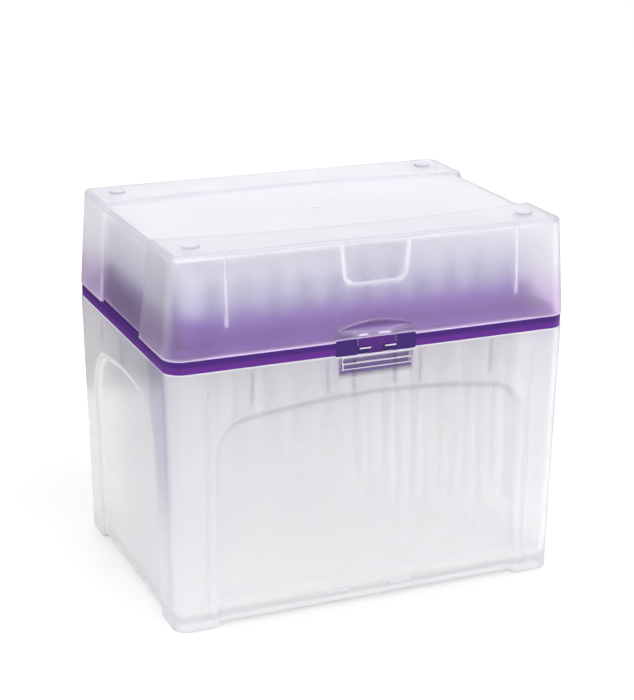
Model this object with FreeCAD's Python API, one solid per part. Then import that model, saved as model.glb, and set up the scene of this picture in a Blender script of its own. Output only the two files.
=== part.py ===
import FreeCAD, Part
import math
import os

from FreeCAD import Vector

# A hinged, frosted box that holds a rack of long pipette tips in a raised, coloured tray.
# X runs along the front, Y from front to back, Z up. The origin is the bottom centre of the whole
# box, on the bench. All sizes are in millimetres.

# ---- Driving dimensions -------------------------------------------------------------------------

# Tip rack: the spacing of a standard 96-place laboratory plate
tip_pitch = 9.0
tip_columns = 12
tip_rows = 8

# Tips
tip_length = 81.6
collar_radius = 3.7
collar_height = 12.3        # how far a tip stands above the deck
collar_bore_radius = 2.8
collar_bore_depth = 7.0
shaft_radius = 2.9          # under the collar
point_radius = 0.75
point_bore_radius = 0.35
tip_wall = 0.5
tip_hole_clearance = 0.2

# Box
rack_to_wall_x = 12.0       # last tip's centre to the outside of the box, along X
rack_to_wall_y = 12.4
corner_radius = 5.5
tip_floor_gap = 16.0        # tip ends to the floor
base_wall = 1.5
floor_thickness = 1.6
floor_lift = 2.4            # underside of the floor above the bench
base_lean_x = 1.65          # how far each end wall leans out over its height
base_lean_y = 0.9
foot_lift = 0.9             # wall's lower edge above the bench, between the feet
foot_length_x = 12.4
foot_length_y = 13.6
foot_thickness = 3.0

# Arched panels sunk in the walls of the base
panel_depth = 1.6
panel_soft_edge = 0.9
front_panel_margin = 13.1   # panel's side to the corner of the box at the foot
front_panel_drop = 11.4     # top of the arch under the rim
front_panel_crown_radius = 240.0
front_panel_shoulder_radius = 7.5
side_panel_margin = 14.6
side_panel_drop = 10.8
side_panel_crown_radius = 100.0
side_panel_shoulder_radius = 11.0

# Fine lines in the corner posts of the base
post_groove_margin = 9.6    # groove to the corner of the box at the foot
post_groove_width = 0.7
post_groove_depth = 0.35
post_groove_top_drop = 5.9
post_groove_bottom = 2.0

# Ribs inside the base walls
guide_rib_width = 1.0
guide_rib_depth = 0.9
guide_rib_top_drop = 1.6
guide_rib_length = 9.0
front_rib_spacing = 73.6
latch_rib_spacing = 28.6
post_rib_spacing = 13.0
side_rib_spacing = 39.4

# Tray
band_height = 3.5           # visible edge of the tray between base and lid
band_inset = 0.25
band_thickness = 2.8
tray_wall = 1.2
shelf_thickness = 1.4
deck_rise = 8.4             # top of the deck over the band
deck_land_x = 0.1           # flat between the last hole and the deck's side wall
deck_land_y = 0.9
deck_lean = 0.8
deck_corner_radius = 4.0
deck_edge_radius = 0.8
deck_rib_depth = 5.0
deck_rib_thickness = 0.8
lip_height = 2.4            # upstand of the tray inside the lid
lip_thickness = 1.1
lip_clearance = 0.35        # lip to the inside of the lid
tray_clearance = 0.15

# Lid
lid_gap = 0.1
lid_wall = 1.3
tip_headroom = 5.7
strip_rise = 1.4            # front and rear strips over the middle panel
lid_lean_x = 2.3
lid_lean_y = 1.5
lid_edge_radius = 1.2
saddle_depth = 0.8          # middle of the end walls under the strips
strip_edge_end = 22.0       # strip's inner edge to the middle of the box, at the ends
strip_edge_middle = 26.8
saddle_half_bottom = 18.5
saddle_notch = 0.85

# Small features of the lid
stud_radius = 2.75
stud_height = 0.8
stud_inset_x = 10.5
stud_inset_y = 10.4
gate_radius = 1.1
gate_height = 0.25
frame_half_top = 10.1
frame_half_bottom = 8.6
frame_height = 12.9
frame_corner_radius = 2.2
frame_rib = 1.0
frame_proud = 0.45
crease_spacing = 88.4
crease_width = 0.8
crease_proud = 0.4
crease_length = 20.4

# Latch at the front
latch_half = 12.3
latch_rise = 0.65           # band and lid edge step up here
latch_drop = 0.45           # base edge steps down here
scoop_half = 11.9
scoop_top = 5.5             # top of the thumb scoop over the band
scoop_shoulder = 3.0
scoop_bottom = 1.2
scoop_depth = 1.0
scoop_backing = 1.0
tongue_half = 5.9
tongue_top = 3.6
tongue_foot = 1.2
tongue_proud = 0.2
hook_inner = 2.2
hook_outer = 5.6
hook_height = 0.45
hook_reach = 0.4
tab_half = 12.5
tab_length = 5.9
tab_thickness = 1.2
pad_half = 10.6
pad_step = 1.85
pad_steps = 2
pad_reach = 0.55
pad_line = 0.25             # groove between two steps of the pad
marker_half = 3.5
marker_spacing = 20.0
marker_height = 1.4
marker_bottom = 3.2
marker_proud = 0.5

# Hinge at the back
hinge_spacing = 64.0
hinge_pin_radius = 1.2
hinge_running_clearance = 0.08
hook_wall = 1.1
hook_width = 9.0
ear_thickness = 2.0
ear_side_gap = 0.3
ear_drop = 0.9              # ears' webs stay under the tray's rim
hinge_wall_gap = 0.5
hook_mouth = 1.9
hook_arm_height = 6.0
hook_arm_rise = 0.3         # arm's lower root over the lid's edge
hook_arm_belly = 0.6        # arm's underside hangs under the lid's edge

# ---- Sizes that follow --------------------------------------------------------------------------

rack_x = (tip_columns - 1) * tip_pitch
rack_y = (tip_rows - 1) * tip_pitch
box_width = rack_x + 2 * rack_to_wall_x
box_depth = rack_y + 2 * rack_to_wall_y

floor_top = floor_lift + floor_thickness
tip_point_z = floor_top + tip_floor_gap
tip_top_z = tip_point_z + tip_length
deck_z = tip_top_z - collar_height
band_top = deck_z - deck_rise
base_height = band_top - band_height
lid_bottom = band_top + lid_gap
panel_top = tip_top_z + tip_headroom + lid_wall
lid_top = panel_top + strip_rise
lid_rise = lid_top - lid_bottom

hook_radius = hinge_pin_radius + hinge_running_clearance + hook_wall
hinge_y = box_depth / 2 + hook_radius + hinge_wall_gap
hinge_z = base_height + band_height / 2
rear_reach = hinge_y + hook_radius - box_depth / 2
front_reach = pad_reach * pad_steps
seat_y = (front_reach - rear_reach) / 2     # puts the origin at the middle of the whole box

ORIGIN = Vector(0, 0, 0)
X_AXIS = Vector(1, 0, 0)
Y_AXIS = Vector(0, 1, 0)
Z_AXIS = Vector(0, 0, 1)
FRONT, RIGHT, REAR, LEFT = 0, 1, 2, 3       # quarter turns of a wall about Z
BEYOND = 20.0                               # how far a wall's cutting solid runs past the wall
OVER = 1.0                                  # how far any other cut runs past a face it opens
LEAST_RADIUS = 0.5                          # inside corners stay round
NEAR = 0.01                                 # heights closer than this are the same


# ---- Shapes used by several pieces ----------------------------------------------------------------

def block(x0, x1, y0, y1, z0, z1):
    return Part.makeBox(x1 - x0, y1 - y0, z1 - z0, Vector(x0, y0, z0))


def rounded_outline(width, depth, radius, z):
    """Rectangle with round corners, centred on the Z axis."""
    a = width / 2
    b = depth / 2
    c = radius * (1 - math.sqrt(0.5))
    r = radius
    pts = [
        (-a + r, -b), (a - r, -b), (a - c, -b + c), (a, -b + r),
        (a, b - r), (a - c, b - c), (a - r, b), (-a + r, b),
        (-a + c, b - c), (-a, b - r), (-a, -b + r), (-a + c, -b + c),
    ]
    p = [Vector(x, y, z) for x, y in pts]
    edges = []
    for i in range(0, 12, 3):
        end = p[(i + 3) % 12]
        edges.append(Part.LineSegment(p[i], p[i + 1]).toShape())
        edges.append(Part.Arc(p[i + 1], p[i + 2], end).toShape())
    return Part.Wire(edges)


def tapered(width0, depth0, z0, width1, depth1, z1, radius):
    low = rounded_outline(width0, depth0, radius, z0)
    high = rounded_outline(width1, depth1, radius, z1)
    return Part.makeLoft([low, high], True, True)


def base_block(inset, z0, z1):
    """The base's outer form, moved inwards by inset, between two heights."""
    def width(z):
        return box_width - 2 * base_lean_x * (1 - z / base_height) - 2 * inset

    def depth(z):
        return box_depth - 2 * base_lean_y * (1 - z / base_height) - 2 * inset

    radius = max(corner_radius - inset, LEAST_RADIUS)
    return tapered(width(z0), depth(z0), z0, width(z1), depth(z1), z1, radius)


def lid_block(inset, z0, z1):
    """The lid's outer form, moved inwards by inset, between two heights."""
    def width(z):
        return box_width - 2 * lid_lean_x * (z - lid_bottom) / lid_rise - 2 * inset

    def depth(z):
        return box_depth - 2 * lid_lean_y * (z - lid_bottom) / lid_rise - 2 * inset

    radius = max(corner_radius - inset, LEAST_RADIUS)
    return tapered(width(z0), depth(z0), z0, width(z1), depth(z1), z1, radius)


def on_wall(shape, quarter, half, lean, rise, z0):
    """Stand a feature on a leaning wall. It is drawn with the wall as the plane Y = 0, +Y inwards."""
    placed = shape.copy()
    placed.rotate(ORIGIN, X_AXIS, math.degrees(math.atan(lean / rise)))
    placed.translate(Vector(0, -half, z0))
    placed.rotate(ORIGIN, Z_AXIS, 90 * quarter)
    return placed


def on_base(shape, quarter):
    if quarter in (FRONT, REAR):
        return on_wall(shape, quarter, box_depth / 2 - base_lean_y, base_lean_y, base_height, 0)
    return on_wall(shape, quarter, box_width / 2 - base_lean_x, base_lean_x, base_height, 0)


def on_lid(shape, quarter):
    """Like on_base. Z = 0 is the lid's lower edge."""
    if quarter in (FRONT, REAR):
        return on_wall(shape, quarter, box_depth / 2, -lid_lean_y, lid_rise, lid_bottom)
    return on_wall(shape, quarter, box_width / 2, -lid_lean_x, lid_rise, lid_bottom)


def ring(z0, z1, inset, thickness):
    """Upright band that follows the joint between base and lid."""
    outer = tapered(box_width - 2 * inset, box_depth - 2 * inset, z0,
                    box_width - 2 * inset, box_depth - 2 * inset, z1, corner_radius - inset)
    inner_inset = inset + thickness
    inner_radius = max(corner_radius - inner_inset, LEAST_RADIUS)
    inner = tapered(box_width - 2 * inner_inset, box_depth - 2 * inner_inset, z0 - OVER,
                    box_width - 2 * inner_inset, box_depth - 2 * inner_inset, z1 + OVER, inner_radius)
    return outer.cut(inner)


# ---- Base -----------------------------------------------------------------------------------------

def arch_wire(half_width, crown_z, crown_radius, shoulder_radius, y):
    """Arched outline, open at the foot of the wall: flat-topped, with round shoulders."""
    centre_z = crown_z - crown_radius
    shoulder_x = half_width - shoulder_radius
    reach = crown_radius - shoulder_radius
    shoulder_z = centre_z + math.sqrt(reach ** 2 - shoulder_x ** 2)
    touch_x = shoulder_x * crown_radius / reach
    touch_z = centre_z + (shoulder_z - centre_z) * crown_radius / reach
    bend = (math.pi / 2 - math.atan2(shoulder_x, shoulder_z - centre_z)) / 2
    mid_x = shoulder_x + shoulder_radius * math.cos(bend)
    mid_z = shoulder_z + shoulder_radius * math.sin(bend)
    low_z = -BEYOND
    p = [
        Vector(-half_width, y, low_z), Vector(half_width, y, low_z), Vector(half_width, y, shoulder_z),
        Vector(mid_x, y, mid_z), Vector(touch_x, y, touch_z), Vector(0, y, crown_z),
        Vector(-touch_x, y, touch_z), Vector(-mid_x, y, mid_z), Vector(-half_width, y, shoulder_z),
    ]
    return Part.Wire([
        Part.LineSegment(p[0], p[1]).toShape(),
        Part.LineSegment(p[1], p[2]).toShape(),
        Part.Arc(p[2], p[3], p[4]).toShape(),
        Part.Arc(p[4], p[5], p[6]).toShape(),
        Part.Arc(p[6], p[7], p[8]).toShape(),
        Part.LineSegment(p[8], p[0]).toShape(),
    ])


def panel_tool(quarter, grow, depth):
    """Solid that sinks an arched panel to a depth; grow widens it on every side."""
    if quarter in (FRONT, REAR):
        half = box_width / 2 - base_lean_x - front_panel_margin
        crown = base_height - front_panel_drop
        crown_radius = front_panel_crown_radius
        shoulder = front_panel_shoulder_radius
    else:
        half = box_depth / 2 - base_lean_y - side_panel_margin
        crown = base_height - side_panel_drop
        crown_radius = side_panel_crown_radius
        shoulder = side_panel_shoulder_radius

    def outline(extra, y):
        return arch_wire(half + extra, crown + extra, crown_radius + extra, shoulder + extra, y)

    core = Part.Face(outline(grow, -BEYOND)).extrude(Vector(0, BEYOND + depth, 0))
    mouth = Part.makeLoft([outline(grow + panel_soft_edge, 0), outline(grow, panel_soft_edge)], True, True)
    return core.fuse(mouth)


def wall_ribs():
    """Ribs inside the walls, below the rim: they centre the tray."""
    root = base_wall - guide_rib_depth / 4

    def rib(x, top_drop, length):
        top = base_height - top_drop
        return block(x - guide_rib_width / 2, x + guide_rib_width / 2,
                     root, base_wall + guide_rib_depth, top - length, top)

    ribs = []
    for quarter in (FRONT, REAR):
        for side in (-1, 1):
            for spacing in (front_rib_spacing, latch_rib_spacing):
                ribs.append(on_base(rib(side * spacing / 2, guide_rib_top_drop, guide_rib_length), quarter))
    post_top_drop = tab_length + 2 * tray_clearance
    post_length = front_panel_drop - post_top_drop - 2 * panel_soft_edge
    for side in (-1, 1):
        ribs.append(on_base(rib(side * post_rib_spacing / 2, post_top_drop, post_length), FRONT))
    for quarter in (RIGHT, LEFT):
        for offset in (-side_rib_spacing / 2, 0, side_rib_spacing / 2):
            ribs.append(on_base(rib(offset, guide_rib_top_drop, guide_rib_length), quarter))
    return ribs


def grip_pad():
    """Stepped thumb pad under the latch: each step stands further out than the one above."""
    steps = []
    for i in range(pad_steps):
        top = base_height - latch_drop - i * pad_step
        steps.append(on_base(block(-pad_half, pad_half, -pad_reach * (i + 1), base_wall / 2,
                                   top - pad_step, top - pad_line), FRONT))
    return steps


def hinge_ears():
    """Rear ears with a moulded pin between each pair."""
    shapes = []
    for side in (-1, 1):
        middle = side * hinge_spacing / 2
        reach = hook_width / 2 + ear_side_gap
        for edge in (-1, 1):
            x0 = middle + edge * reach - (ear_thickness if edge < 0 else 0)
            disc = Part.makeCylinder(hinge_pin_radius + hook_wall / 2, ear_thickness,
                                     Vector(x0, hinge_y, hinge_z), X_AXIS)
            wall_y = box_depth / 2 - base_wall / 2
            web_top = base_height - ear_drop
            web = Part.Face(Part.makePolygon([
                Vector(x0, wall_y, web_top),
                Vector(x0, hinge_y, hinge_z + hinge_pin_radius),
                Vector(x0, hinge_y + hinge_pin_radius, hinge_z - hinge_pin_radius),
                Vector(x0, wall_y, base_height - 2 * (hinge_y - wall_y)),
                Vector(x0, wall_y, web_top),
            ])).extrude(Vector(ear_thickness, 0, 0))
            shapes.append(disc)
            shapes.append(web)
        pin_length = 2 * (reach + ear_thickness / 2)
        shapes.append(Part.makeCylinder(hinge_pin_radius, pin_length,
                                        Vector(middle - pin_length / 2, hinge_y, hinge_z), X_AXIS))
    return shapes


def make_base():
    body = base_block(0, 0, base_height)
    hollow = base_block(base_wall, floor_top, base_height + OVER)
    under = base_block(base_wall, -OVER, floor_lift)
    feet_hollow = base_block(foot_thickness, -OVER, floor_lift)
    for quarter in (FRONT, RIGHT, REAR, LEFT):
        body = body.cut(on_base(panel_tool(quarter, 0, panel_depth), quarter))
        bump = on_base(panel_tool(quarter, base_wall, panel_depth + base_wall), quarter)
        hollow = hollow.cut(bump)
        under = under.cut(bump)
    half_x = box_width / 2 - base_lean_x - foot_length_x
    half_y = box_depth / 2 - base_lean_y - foot_length_y
    between = block(-half_x, half_x, -box_depth, box_depth, -OVER, floor_lift)
    between = between.fuse(block(-box_width, box_width, -half_y, half_y, -OVER, floor_lift))
    under = under.common(between).fuse(feet_hollow)
    body = body.cut(hollow).cut(under)
    body = body.cut(block(-half_x, half_x, -box_depth, box_depth, -OVER, foot_lift))
    body = body.cut(block(-box_width, box_width, -half_y, half_y, -OVER, foot_lift))

    groove_x = box_width / 2 - base_lean_x - post_groove_margin
    groove_top = base_height - post_groove_top_drop
    for quarter in (FRONT, REAR):
        for side in (-1, 1):
            groove = block(side * groove_x - post_groove_width / 2, side * groove_x + post_groove_width / 2,
                           -OVER, post_groove_depth, post_groove_bottom, groove_top)
            body = body.cut(on_base(groove, quarter))

    added = wall_ribs() + grip_pad() + hinge_ears()
    for side in (-1, 1):
        x = side * marker_spacing / 2
        marker = block(x - marker_half, x + marker_half, panel_depth - marker_proud,
                       panel_depth + base_wall / 2, marker_bottom, marker_bottom + marker_height)
        added.append(on_base(marker, FRONT))
    body = body.fuse(added)
    body = body.cut(block(-latch_half, latch_half, -box_depth, -box_depth / 2 + base_wall + OVER,
                          base_height - latch_drop, base_height + OVER))
    return body.removeSplitter()


# ---- Tray -----------------------------------------------------------------------------------------

def tip_places():
    """Columns of tip centres, front row first."""
    columns = []
    for i in range(tip_columns):
        x = i * tip_pitch - rack_x / 2
        columns.append([(x, j * tip_pitch - rack_y / 2) for j in range(tip_rows)])
    return columns


def make_tray():
    hole_radius = shaft_radius + tip_hole_clearance
    deck_w = rack_x + 2 * (hole_radius + deck_land_x + tray_wall)
    deck_d = rack_y + 2 * (hole_radius + deck_land_y + tray_wall)
    shelf_bottom = band_top - shelf_thickness
    radius = deck_corner_radius

    band = ring(base_height, band_top, band_inset, band_thickness)
    lip_inset = lid_wall + saddle_depth + lip_clearance
    upper_lip = ring(band_top - shelf_thickness, band_top + lip_height, lip_inset, lip_thickness)
    shelf_inset = band_inset + band_thickness / 2
    shelf = tapered(box_width - 2 * shelf_inset, box_depth - 2 * shelf_inset, shelf_bottom,
                    box_width - 2 * shelf_inset, box_depth - 2 * shelf_inset, band_top,
                    max(corner_radius - shelf_inset, LEAST_RADIUS))
    rise = deck_z - shelf_bottom
    deck = tapered(deck_w + 2 * deck_lean, deck_d + 2 * deck_lean, shelf_bottom,
                   deck_w, deck_d, deck_z, radius)
    top_edges = [e for e in deck.Edges if e.BoundBox.ZMin > deck_z - NEAR]
    deck = deck.makeFillet(deck_edge_radius, top_edges)
    inner_top = deck_z - tray_wall
    lean = deck_lean * (inner_top - shelf_bottom) / rise
    hollow = tapered(deck_w + 2 * (deck_lean - tray_wall), deck_d + 2 * (deck_lean - tray_wall), shelf_bottom,
                     deck_w + 2 * (deck_lean - tray_wall - lean), deck_d + 2 * (deck_lean - tray_wall - lean),
                     inner_top, radius - tray_wall)
    mouth = hollow.copy()
    mouth.translate(Vector(0, 0, -OVER))
    latch_gap = block(-latch_half, latch_half, -box_depth, 0, band_top, deck_z)
    body = band.fuse([shelf, deck, upper_lip.cut(latch_gap)])
    body = body.cut(hollow.fuse(mouth))

    # Ribs under the deck, between the rows and columns of tips
    rib_z0 = inner_top - deck_rib_depth
    rib_z1 = deck_z - tray_wall / 2
    ribs = []
    for i in range(2, tip_columns, 2):
        x = (i - 0.5) * tip_pitch - rack_x / 2
        ribs.append(block(x - deck_rib_thickness / 2, x + deck_rib_thickness / 2,
                          -deck_d / 2 + tray_wall / 2, deck_d / 2 - tray_wall / 2, rib_z0, rib_z1))
    for j in range(2, tip_rows, 2):
        y = (j - 0.5) * tip_pitch - rack_y / 2
        ribs.append(block(-deck_w / 2 + tray_wall / 2, deck_w / 2 - tray_wall / 2,
                          y - deck_rib_thickness / 2, y + deck_rib_thickness / 2, rib_z0, rib_z1))
    body = body.fuse(ribs)

    # Latch at the front: the band is taller, with a tongue inside the lid and a tab inside the base
    front = -box_depth / 2
    band_back = front + band_inset + band_thickness
    tall_band = block(-latch_half + tray_clearance, latch_half - tray_clearance, front + band_inset, band_back,
                      base_height - latch_drop + tray_clearance / 3, band_top + latch_rise)
    tongue_face = front + band_inset - tongue_proud
    tongue_low = band_top - band_height + tongue_foot
    plate = block(-tongue_half, tongue_half, tongue_face, band_back, tongue_low, band_top + latch_rise)
    lip_y = front + lid_wall + scoop_backing + lip_clearance
    tongue = block(-tongue_half, tongue_half, lip_y, lip_y + lip_thickness, band_top - shelf_thickness,
                   band_top + tongue_top)
    tab_y = front + base_wall + tray_clearance
    tab = block(-tab_half, tab_half, tab_y, tab_y + tab_thickness, base_height - tab_length, band_top)
    body = body.fuse([tall_band, plate, tongue, tab])
    for side in (-1, 1):
        x0, x1 = sorted((side * hook_inner, side * hook_outer))
        hook = block(x0, x1, tongue_face - hook_reach, band_back, tongue_low, tongue_low + hook_height)
        body = body.fuse(hook)
        window = block(x0, x1, front - OVER, front + base_wall, base_height - latch_drop - OVER, tongue_low)
        body = body.cut(window)

    # The band fills the raised middle of each end of the lid
    for quarter in (RIGHT, LEFT):
        fill = block(-saddle_half_bottom + tray_clearance, saddle_half_bottom - tray_clearance,
                     band_inset + saddle_depth, band_inset + band_thickness, -OVER, saddle_notch)
        fill.translate(Vector(0, -box_width / 2, band_top))
        fill.rotate(ORIGIN, Z_AXIS, 90 * quarter)
        body = body.fuse(fill)

    holes = []
    for column in tip_places():
        for x, y in column:
            holes.append(Part.makeCylinder(hole_radius, tray_wall + 2 * OVER, Vector(x, y, inner_top - OVER)))
    body = body.cut(Part.makeCompound(holes))
    return body.removeSplitter()


# ---- Lid ------------------------------------------------------------------------------------------

def strip_edge_arc(y_sign, z, shift):
    """Inner edge of a raised strip: an arc that is nearest the middle at the ends of the box."""
    x = box_width
    bow = strip_edge_middle - strip_edge_end
    half_span = box_width / 2 - lid_lean_x
    radius = (half_span ** 2 + bow ** 2) / (2 * bow)
    fall = radius - math.sqrt(radius ** 2 - x ** 2) if radius > x else bow
    y_end = strip_edge_middle - fall - shift
    y_mid = strip_edge_middle - shift
    return Vector(-x, y_sign * y_end, z), Vector(0, y_sign * y_mid, z), Vector(x, y_sign * y_end, z)


def middle_panel_tool(shift, z0, z1):
    """Everything between the two strips; shift narrows it."""
    a, b, c = strip_edge_arc(-1, z0, shift)
    d, e, f = strip_edge_arc(1, z0, shift)
    wire = Part.Wire([
        Part.Arc(a, b, c).toShape(),
        Part.LineSegment(c, f).toShape(),
        Part.Arc(f, e, d).toShape(),
        Part.LineSegment(d, a).toShape(),
    ])
    return Part.Face(wire).extrude(Vector(0, 0, z1 - z0))


def saddle_tool(depth, grow):
    """Sunk middle of an end wall, wider at the top, drawn against the plane Y = 0."""
    low = saddle_half_bottom + grow
    high = strip_edge_end + grow
    face = Part.Face(Part.makePolygon([
        Vector(-low, -BEYOND, -OVER), Vector(low, -BEYOND, -OVER),
        Vector(high, -BEYOND, lid_rise + OVER), Vector(-high, -BEYOND, lid_rise + OVER),
        Vector(-low, -BEYOND, -OVER),
    ]))
    return face.extrude(Vector(0, BEYOND + depth, 0))


def label_frame():
    """Raised rib in the shape of a U, open at the top edge of the lid's front."""
    top = lid_rise - lid_edge_radius
    low = top - frame_height + lid_edge_radius

    def outline(grow, y):
        t = frame_half_top + grow
        b = frame_half_bottom + grow
        z = low - grow
        r = frame_corner_radius + grow
        k = r * (1 - math.sqrt(0.5))
        p = [
            Vector(-t, y, top), Vector(-b, y, z + r), Vector(-b + k, y, z + k), Vector(-b + r, y, z),
            Vector(b - r, y, z), Vector(b - k, y, z + k), Vector(b, y, z + r), Vector(t, y, top),
        ]
        return Part.Wire([
            Part.LineSegment(p[0], p[1]).toShape(),
            Part.Arc(p[1], p[2], p[3]).toShape(),
            Part.LineSegment(p[3], p[4]).toShape(),
            Part.Arc(p[4], p[5], p[6]).toShape(),
            Part.LineSegment(p[6], p[7]).toShape(),
            Part.LineSegment(p[7], p[0]).toShape(),
        ])

    rib = Part.Face(outline(0, -frame_proud)).extrude(Vector(0, frame_proud + lid_wall / 2, 0))
    through = Vector(0, frame_proud + lid_wall + 2 * OVER, 0)
    gap = Part.Face(outline(-frame_rib, -frame_proud - OVER)).extrude(through)
    return rib.cut(gap)


def scoop_outline(y):
    left = Vector(-scoop_half, y, scoop_shoulder)
    right = Vector(scoop_half, y, scoop_shoulder)
    return Part.Wire([
        Part.Arc(left, Vector(0, y, scoop_top), right).toShape(),
        Part.Arc(right, Vector(0, y, scoop_bottom), left).toShape(),
    ])


def hinge_hooks():
    """Arms on the lid's rear wall that clip over the pins of the base."""
    solids = []
    cuts = []
    bore_radius = hinge_pin_radius + hinge_running_clearance
    wall_y = box_depth / 2 - lid_wall
    for side in (-1, 1):
        x0 = side * hinge_spacing / 2 - hook_width / 2
        eye = Part.makeCylinder(hook_radius, hook_width, Vector(x0, hinge_y, hinge_z), X_AXIS)
        arm = Part.Face(Part.makePolygon([
            Vector(x0, wall_y, lid_bottom + hook_arm_rise),
            Vector(x0, hinge_y, lid_bottom - hook_arm_belly),
            Vector(x0, hinge_y + hook_radius, hinge_z),
            Vector(x0, hinge_y + hook_radius / 2, hinge_z + hook_radius),
            Vector(x0, wall_y, lid_bottom + hook_arm_height),
            Vector(x0, wall_y, lid_bottom + hook_arm_rise),
        ])).extrude(Vector(hook_width, 0, 0))
        solids.append(eye.fuse(arm))
        bore = Part.makeCylinder(bore_radius, hook_width + 2 * OVER, Vector(x0 - OVER, hinge_y, hinge_z), X_AXIS)
        mouth = block(x0 - OVER, x0 + hook_width + OVER, hinge_y - hook_mouth / 2, hinge_y + hook_mouth / 2,
                      hinge_z - hook_radius - OVER, hinge_z)
        cuts.append(bore.fuse(mouth))
    return solids, cuts


def make_lid():
    body = lid_block(0, lid_bottom, lid_top)
    top_edges = [e for e in body.Edges if e.BoundBox.ZMin > lid_top - NEAR]
    body = body.makeFillet(lid_edge_radius, top_edges)
    hollow = lid_block(lid_wall, lid_bottom, lid_top - lid_wall)
    skirt = hollow.copy()
    skirt.translate(Vector(0, 0, -OVER))
    hollow = hollow.fuse(skirt)
    body = body.cut(middle_panel_tool(0, panel_top, lid_top + OVER))
    hollow = hollow.cut(middle_panel_tool(-lid_wall, panel_top - lid_wall, lid_top + OVER))
    for quarter in (RIGHT, LEFT):
        body = body.cut(on_lid(saddle_tool(saddle_depth, 0), quarter))
        hollow = hollow.cut(on_lid(saddle_tool(saddle_depth + lid_wall, lid_wall), quarter))
    body = body.cut(hollow)

    # Thumb scoop with its backing inside the wall
    backing = Part.Face(scoop_outline(lid_wall / 2)).extrude(Vector(0, lid_wall / 2 + scoop_backing, 0))
    dish = Part.Face(scoop_outline(-OVER)).extrude(Vector(0, OVER + scoop_depth, 0))
    body = body.fuse(on_lid(backing, FRONT)).cut(on_lid(dish, FRONT))

    added = [on_lid(label_frame(), FRONT)]
    crease_top = lid_rise - lid_edge_radius
    for side in (-1, 1):
        x = side * crease_spacing / 2
        added.append(on_lid(block(x - crease_width / 2, x + crease_width / 2, -crease_proud, lid_wall / 2,
                                  crease_top - crease_length, crease_top), FRONT))
        for y_side in (-1, 1):
            centre = Vector(side * (box_width / 2 - stud_inset_x), y_side * (box_depth / 2 - stud_inset_y),
                            lid_top - lid_wall / 2)
            added.append(Part.makeCylinder(stud_radius, lid_wall / 2 + stud_height, centre))
    added.append(Part.makeCylinder(gate_radius, lid_wall / 2 + gate_height, Vector(0, 0, panel_top - lid_wall / 2)))
    hooks, hook_cuts = hinge_hooks()
    body = body.fuse(added + hooks)
    for cutter in hook_cuts:
        body = body.cut(cutter)

    body = body.cut(block(-latch_half, latch_half, -box_depth, -box_depth / 2 + lid_wall * 2,
                          lid_bottom - OVER, lid_bottom + latch_rise))
    for quarter in (RIGHT, LEFT):
        notch = block(-saddle_half_bottom, saddle_half_bottom, -OVER, saddle_depth + 3 * lid_wall,
                      lid_bottom - OVER, lid_bottom + saddle_notch)
        notch.translate(Vector(0, -box_width / 2, 0))
        notch.rotate(ORIGIN, Z_AXIS, 90 * quarter)
        body = body.cut(notch)
    return body.removeSplitter()


# ---- Tips -----------------------------------------------------------------------------------------

def make_tip():
    """One tip, standing on the Z axis with its collar's shoulder at Z = 0."""
    shaft_end = -(tip_length - collar_height)
    bore_floor = collar_height - collar_bore_depth
    throat = shaft_radius - tip_wall
    profile = [
        (point_bore_radius, shaft_end), (point_radius, shaft_end), (shaft_radius, 0), (collar_radius, 0),
        (collar_radius, collar_height), (collar_bore_radius, collar_height),
        (collar_bore_radius, bore_floor), (throat, bore_floor - 2 * tip_wall),
    ]
    pts = [Vector(x, 0, z) for x, z in profile]
    face = Part.Face(Part.makePolygon(pts + [pts[0]]))
    return face.revolve(ORIGIN, Z_AXIS, 360)


def save(shape, name):
    placed = shape.copy()
    placed.translate(Vector(0, seat_y, 0))
    placed.exportStep("parts/" + name + ".step")
    box = placed.optimalBoundingBox()
    print(name, len(placed.Solids), "solids, valid", placed.isValid(), "volume", round(placed.Volume, 1),
          "X", round(box.XMin, 2), round(box.XMax, 2), "Y", round(box.YMin, 2), round(box.YMax, 2),
          "Z", round(box.ZMin, 2), round(box.ZMax, 2))


os.makedirs("parts", exist_ok=True)
save(make_base(), "base_box")
save(make_tray(), "tip_tray")
save(make_lid(), "lid")
tip = make_tip()
for number, column in enumerate(tip_places(), start=1):
    tips = []
    for x, y in column:
        one = tip.copy()
        one.translate(Vector(x, y, deck_z))
        tips.append(one)
    save(Part.makeCompound(tips), "tips_column_%02d" % number)
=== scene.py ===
import bpy
import bmesh
import math
from mathutils import Matrix, Vector


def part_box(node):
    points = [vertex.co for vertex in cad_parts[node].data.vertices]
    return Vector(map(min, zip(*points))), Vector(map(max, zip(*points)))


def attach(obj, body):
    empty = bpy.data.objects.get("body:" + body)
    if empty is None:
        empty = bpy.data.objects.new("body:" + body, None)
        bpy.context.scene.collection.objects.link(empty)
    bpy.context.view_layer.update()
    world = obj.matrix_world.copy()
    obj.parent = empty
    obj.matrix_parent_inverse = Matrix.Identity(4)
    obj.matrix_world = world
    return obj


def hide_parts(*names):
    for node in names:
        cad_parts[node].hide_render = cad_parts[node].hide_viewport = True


# A closed box of long pipette tips: frosted base and lid, violet tray, 96 tips on a 9 mm grid.
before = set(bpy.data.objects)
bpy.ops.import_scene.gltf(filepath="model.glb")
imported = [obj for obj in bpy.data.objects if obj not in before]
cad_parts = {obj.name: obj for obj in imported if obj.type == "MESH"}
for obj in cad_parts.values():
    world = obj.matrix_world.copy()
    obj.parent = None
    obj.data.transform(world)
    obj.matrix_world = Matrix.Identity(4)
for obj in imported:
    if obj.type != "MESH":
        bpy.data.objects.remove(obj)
bpy.context.view_layer.update()
lidBox, trayBox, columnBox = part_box("lid"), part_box("tip_tray"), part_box("tips_column_01")
print("frame loaded:", len(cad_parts), "nodes")

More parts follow.
